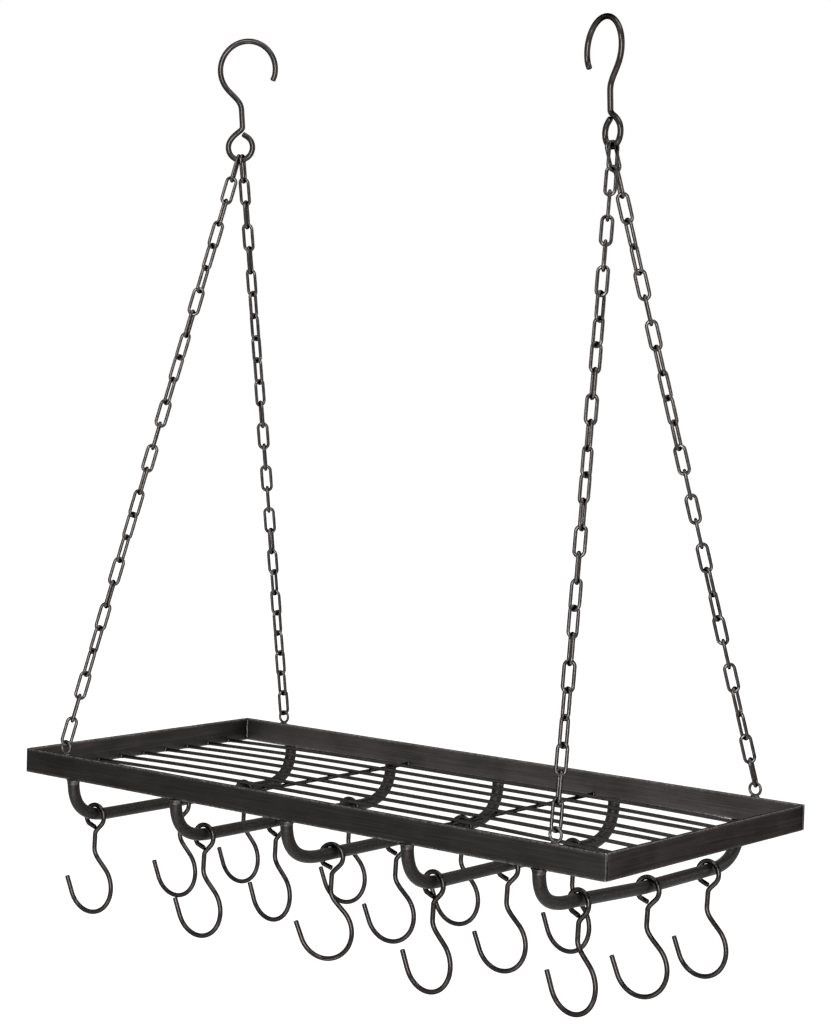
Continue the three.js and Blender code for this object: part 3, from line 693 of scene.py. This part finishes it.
floor_finish = bpy.data.materials.new("pale_floor")
floor_finish.use_nodes = True
nodes, links = floor_finish.node_tree.nodes, floor_finish.node_tree.links
floor_shader = nodes["Principled BSDF"]
floor_shader.inputs["Roughness"].default_value = 0.9
floor_shader.inputs["Base Color"].default_value = (0.85, 0.85, 0.85, 1)
glow = nodes.new("ShaderNodeEmission")
glow.inputs["Strength"].default_value = 0.75
shown = nodes.new("ShaderNodeMixShader")
added = nodes.new("ShaderNodeAddShader")
links.new(background_rays(nodes, links), shown.inputs["Fac"])
links.new(floor_shader.outputs["BSDF"], shown.inputs[1])
links.new(floor_shader.outputs["BSDF"], added.inputs[0])
links.new(glow.outputs["Emission"], added.inputs[1])
links.new(added.outputs["Shader"], shown.inputs[2])
links.new(shown.outputs["Shader"], nodes["Material Output"].inputs["Surface"])
mesh = bpy.data.meshes.new("floor")
mesh.from_pydata([(sx * FLOOR_REACH, sy * FLOOR_REACH, -FLOOR_DROP)
                  for sx, sy in ((-1, -1), (1, -1), (1, 1), (-1, 1))], [], [(0, 1, 2, 3)])
mesh.materials.append(floor_finish)
floor = bpy.data.objects.new("floor", mesh)
bpy.context.scene.collection.objects.link(floor)

world = bpy.data.worlds.new("white_room")
bpy.context.scene.world = world
world.use_nodes = True
nodes, links = world.node_tree.nodes, world.node_tree.links
lit, white = nodes["Background"], nodes.new("ShaderNodeBackground")
lit.inputs["Color"].default_value = (0.98, 0.99, 1.0, 1)
lit.inputs["Strength"].default_value = 0.45
white.inputs["Color"].default_value = (1, 1, 1, 1)
chosen = nodes.new("ShaderNodeMixShader")
links.new(background_rays(nodes, links), chosen.inputs["Fac"])
links.new(lit.outputs["Background"], chosen.inputs[1])
links.new(white.outputs["Background"], chosen.inputs[2])
links.new(chosen.outputs["Shader"], nodes["World Output"].inputs["Surface"])


def soft_lamp(name, place, aim, size, watts):
    """A soft box of that width and height in metres, at its place, turned to face the point it is
    aimed at."""
    data = bpy.data.lights.new(name, "AREA")
    data.shape = "RECTANGLE"
    data.size, data.size_y = size
    data.energy = watts
    lamp = bpy.data.objects.new(name, data)
    lamp.location = place
    back = np.asarray(place, float) - aim
    lamp.rotation_euler = Vector(back.tolist()).to_track_quat("Z", "Y").to_euler()
    bpy.context.scene.collection.objects.link(lamp)


soft_lamp("overhead_lamp", (0.35, 0.1, 1.3), (0, 0, -0.6), (1.2, 1.2), 22)
soft_lamp("front_lamp", (1.55, -2.15, -0.15), (0, 0, -0.15), (0.55, 2.2), 115)
soft_lamp("high_front_lamp", (0.14, -1.87, 0.85), (0, 0, -0.65), (0.5, 0.5), 18)
soft_lamp("low_front_lamp", (-0.1, -1.87, -2.1), (0, 0, -0.65), (0.5, 0.5), 12)
soft_lamp("right_lamp", (2.0, 1.9, 0.3), (0, 0, -0.55), (1.3, 1.3), 20)
soft_lamp("left_lamp", (-2.4, -0.6, 0.5), (0, 0, -0.55), (1.0, 1.0), 10)

# ================================================================ camera
# A long lens at the photograph's distance, 39 degrees round to the right from the rack's front, a
# little above its middle, and rolled by a degree and a half as the photograph is.

YAW, PITCH, ROLL = (math.radians(v) for v in (39.070, 3.244, 1.634))
FOCAL_PIXELS, IMAGE_HEIGHT = 2316.08, 1024
OFFSET = np.array([-13.74, 219.17, 1930.03])  # of the shelf's middle, in the camera's own axes, in mm

ahead = np.array([-math.sin(YAW) * math.cos(PITCH), math.cos(YAW) * math.cos(PITCH), -math.sin(PITCH)])
level = np.array([math.cos(YAW), math.sin(YAW), 0])
above = np.cross(level, ahead)
rightward = math.cos(ROLL) * level + math.sin(ROLL) * above
upward = -math.sin(ROLL) * level + math.cos(ROLL) * above
axes = np.stack([rightward, -upward, ahead])
spot = (-axes.T @ OFFSET + (0, 0, SHELF_TOP)) / 1000
stand = np.eye(4)
stand[:3] = np.column_stack([rightward, upward, -ahead, spot])

data = bpy.data.cameras.new("camera")
data.sensor_fit = "VERTICAL"
data.sensor_height = 24
data.lens = FOCAL_PIXELS * data.sensor_height / IMAGE_HEIGHT
camera = bpy.data.objects.new("camera", data)
camera.matrix_world = Matrix(stand.tolist())
bpy.context.scene.collection.objects.link(camera)
bpy.context.scene.camera = camera
bpy.context.scene.view_settings.view_transform = "Standard"
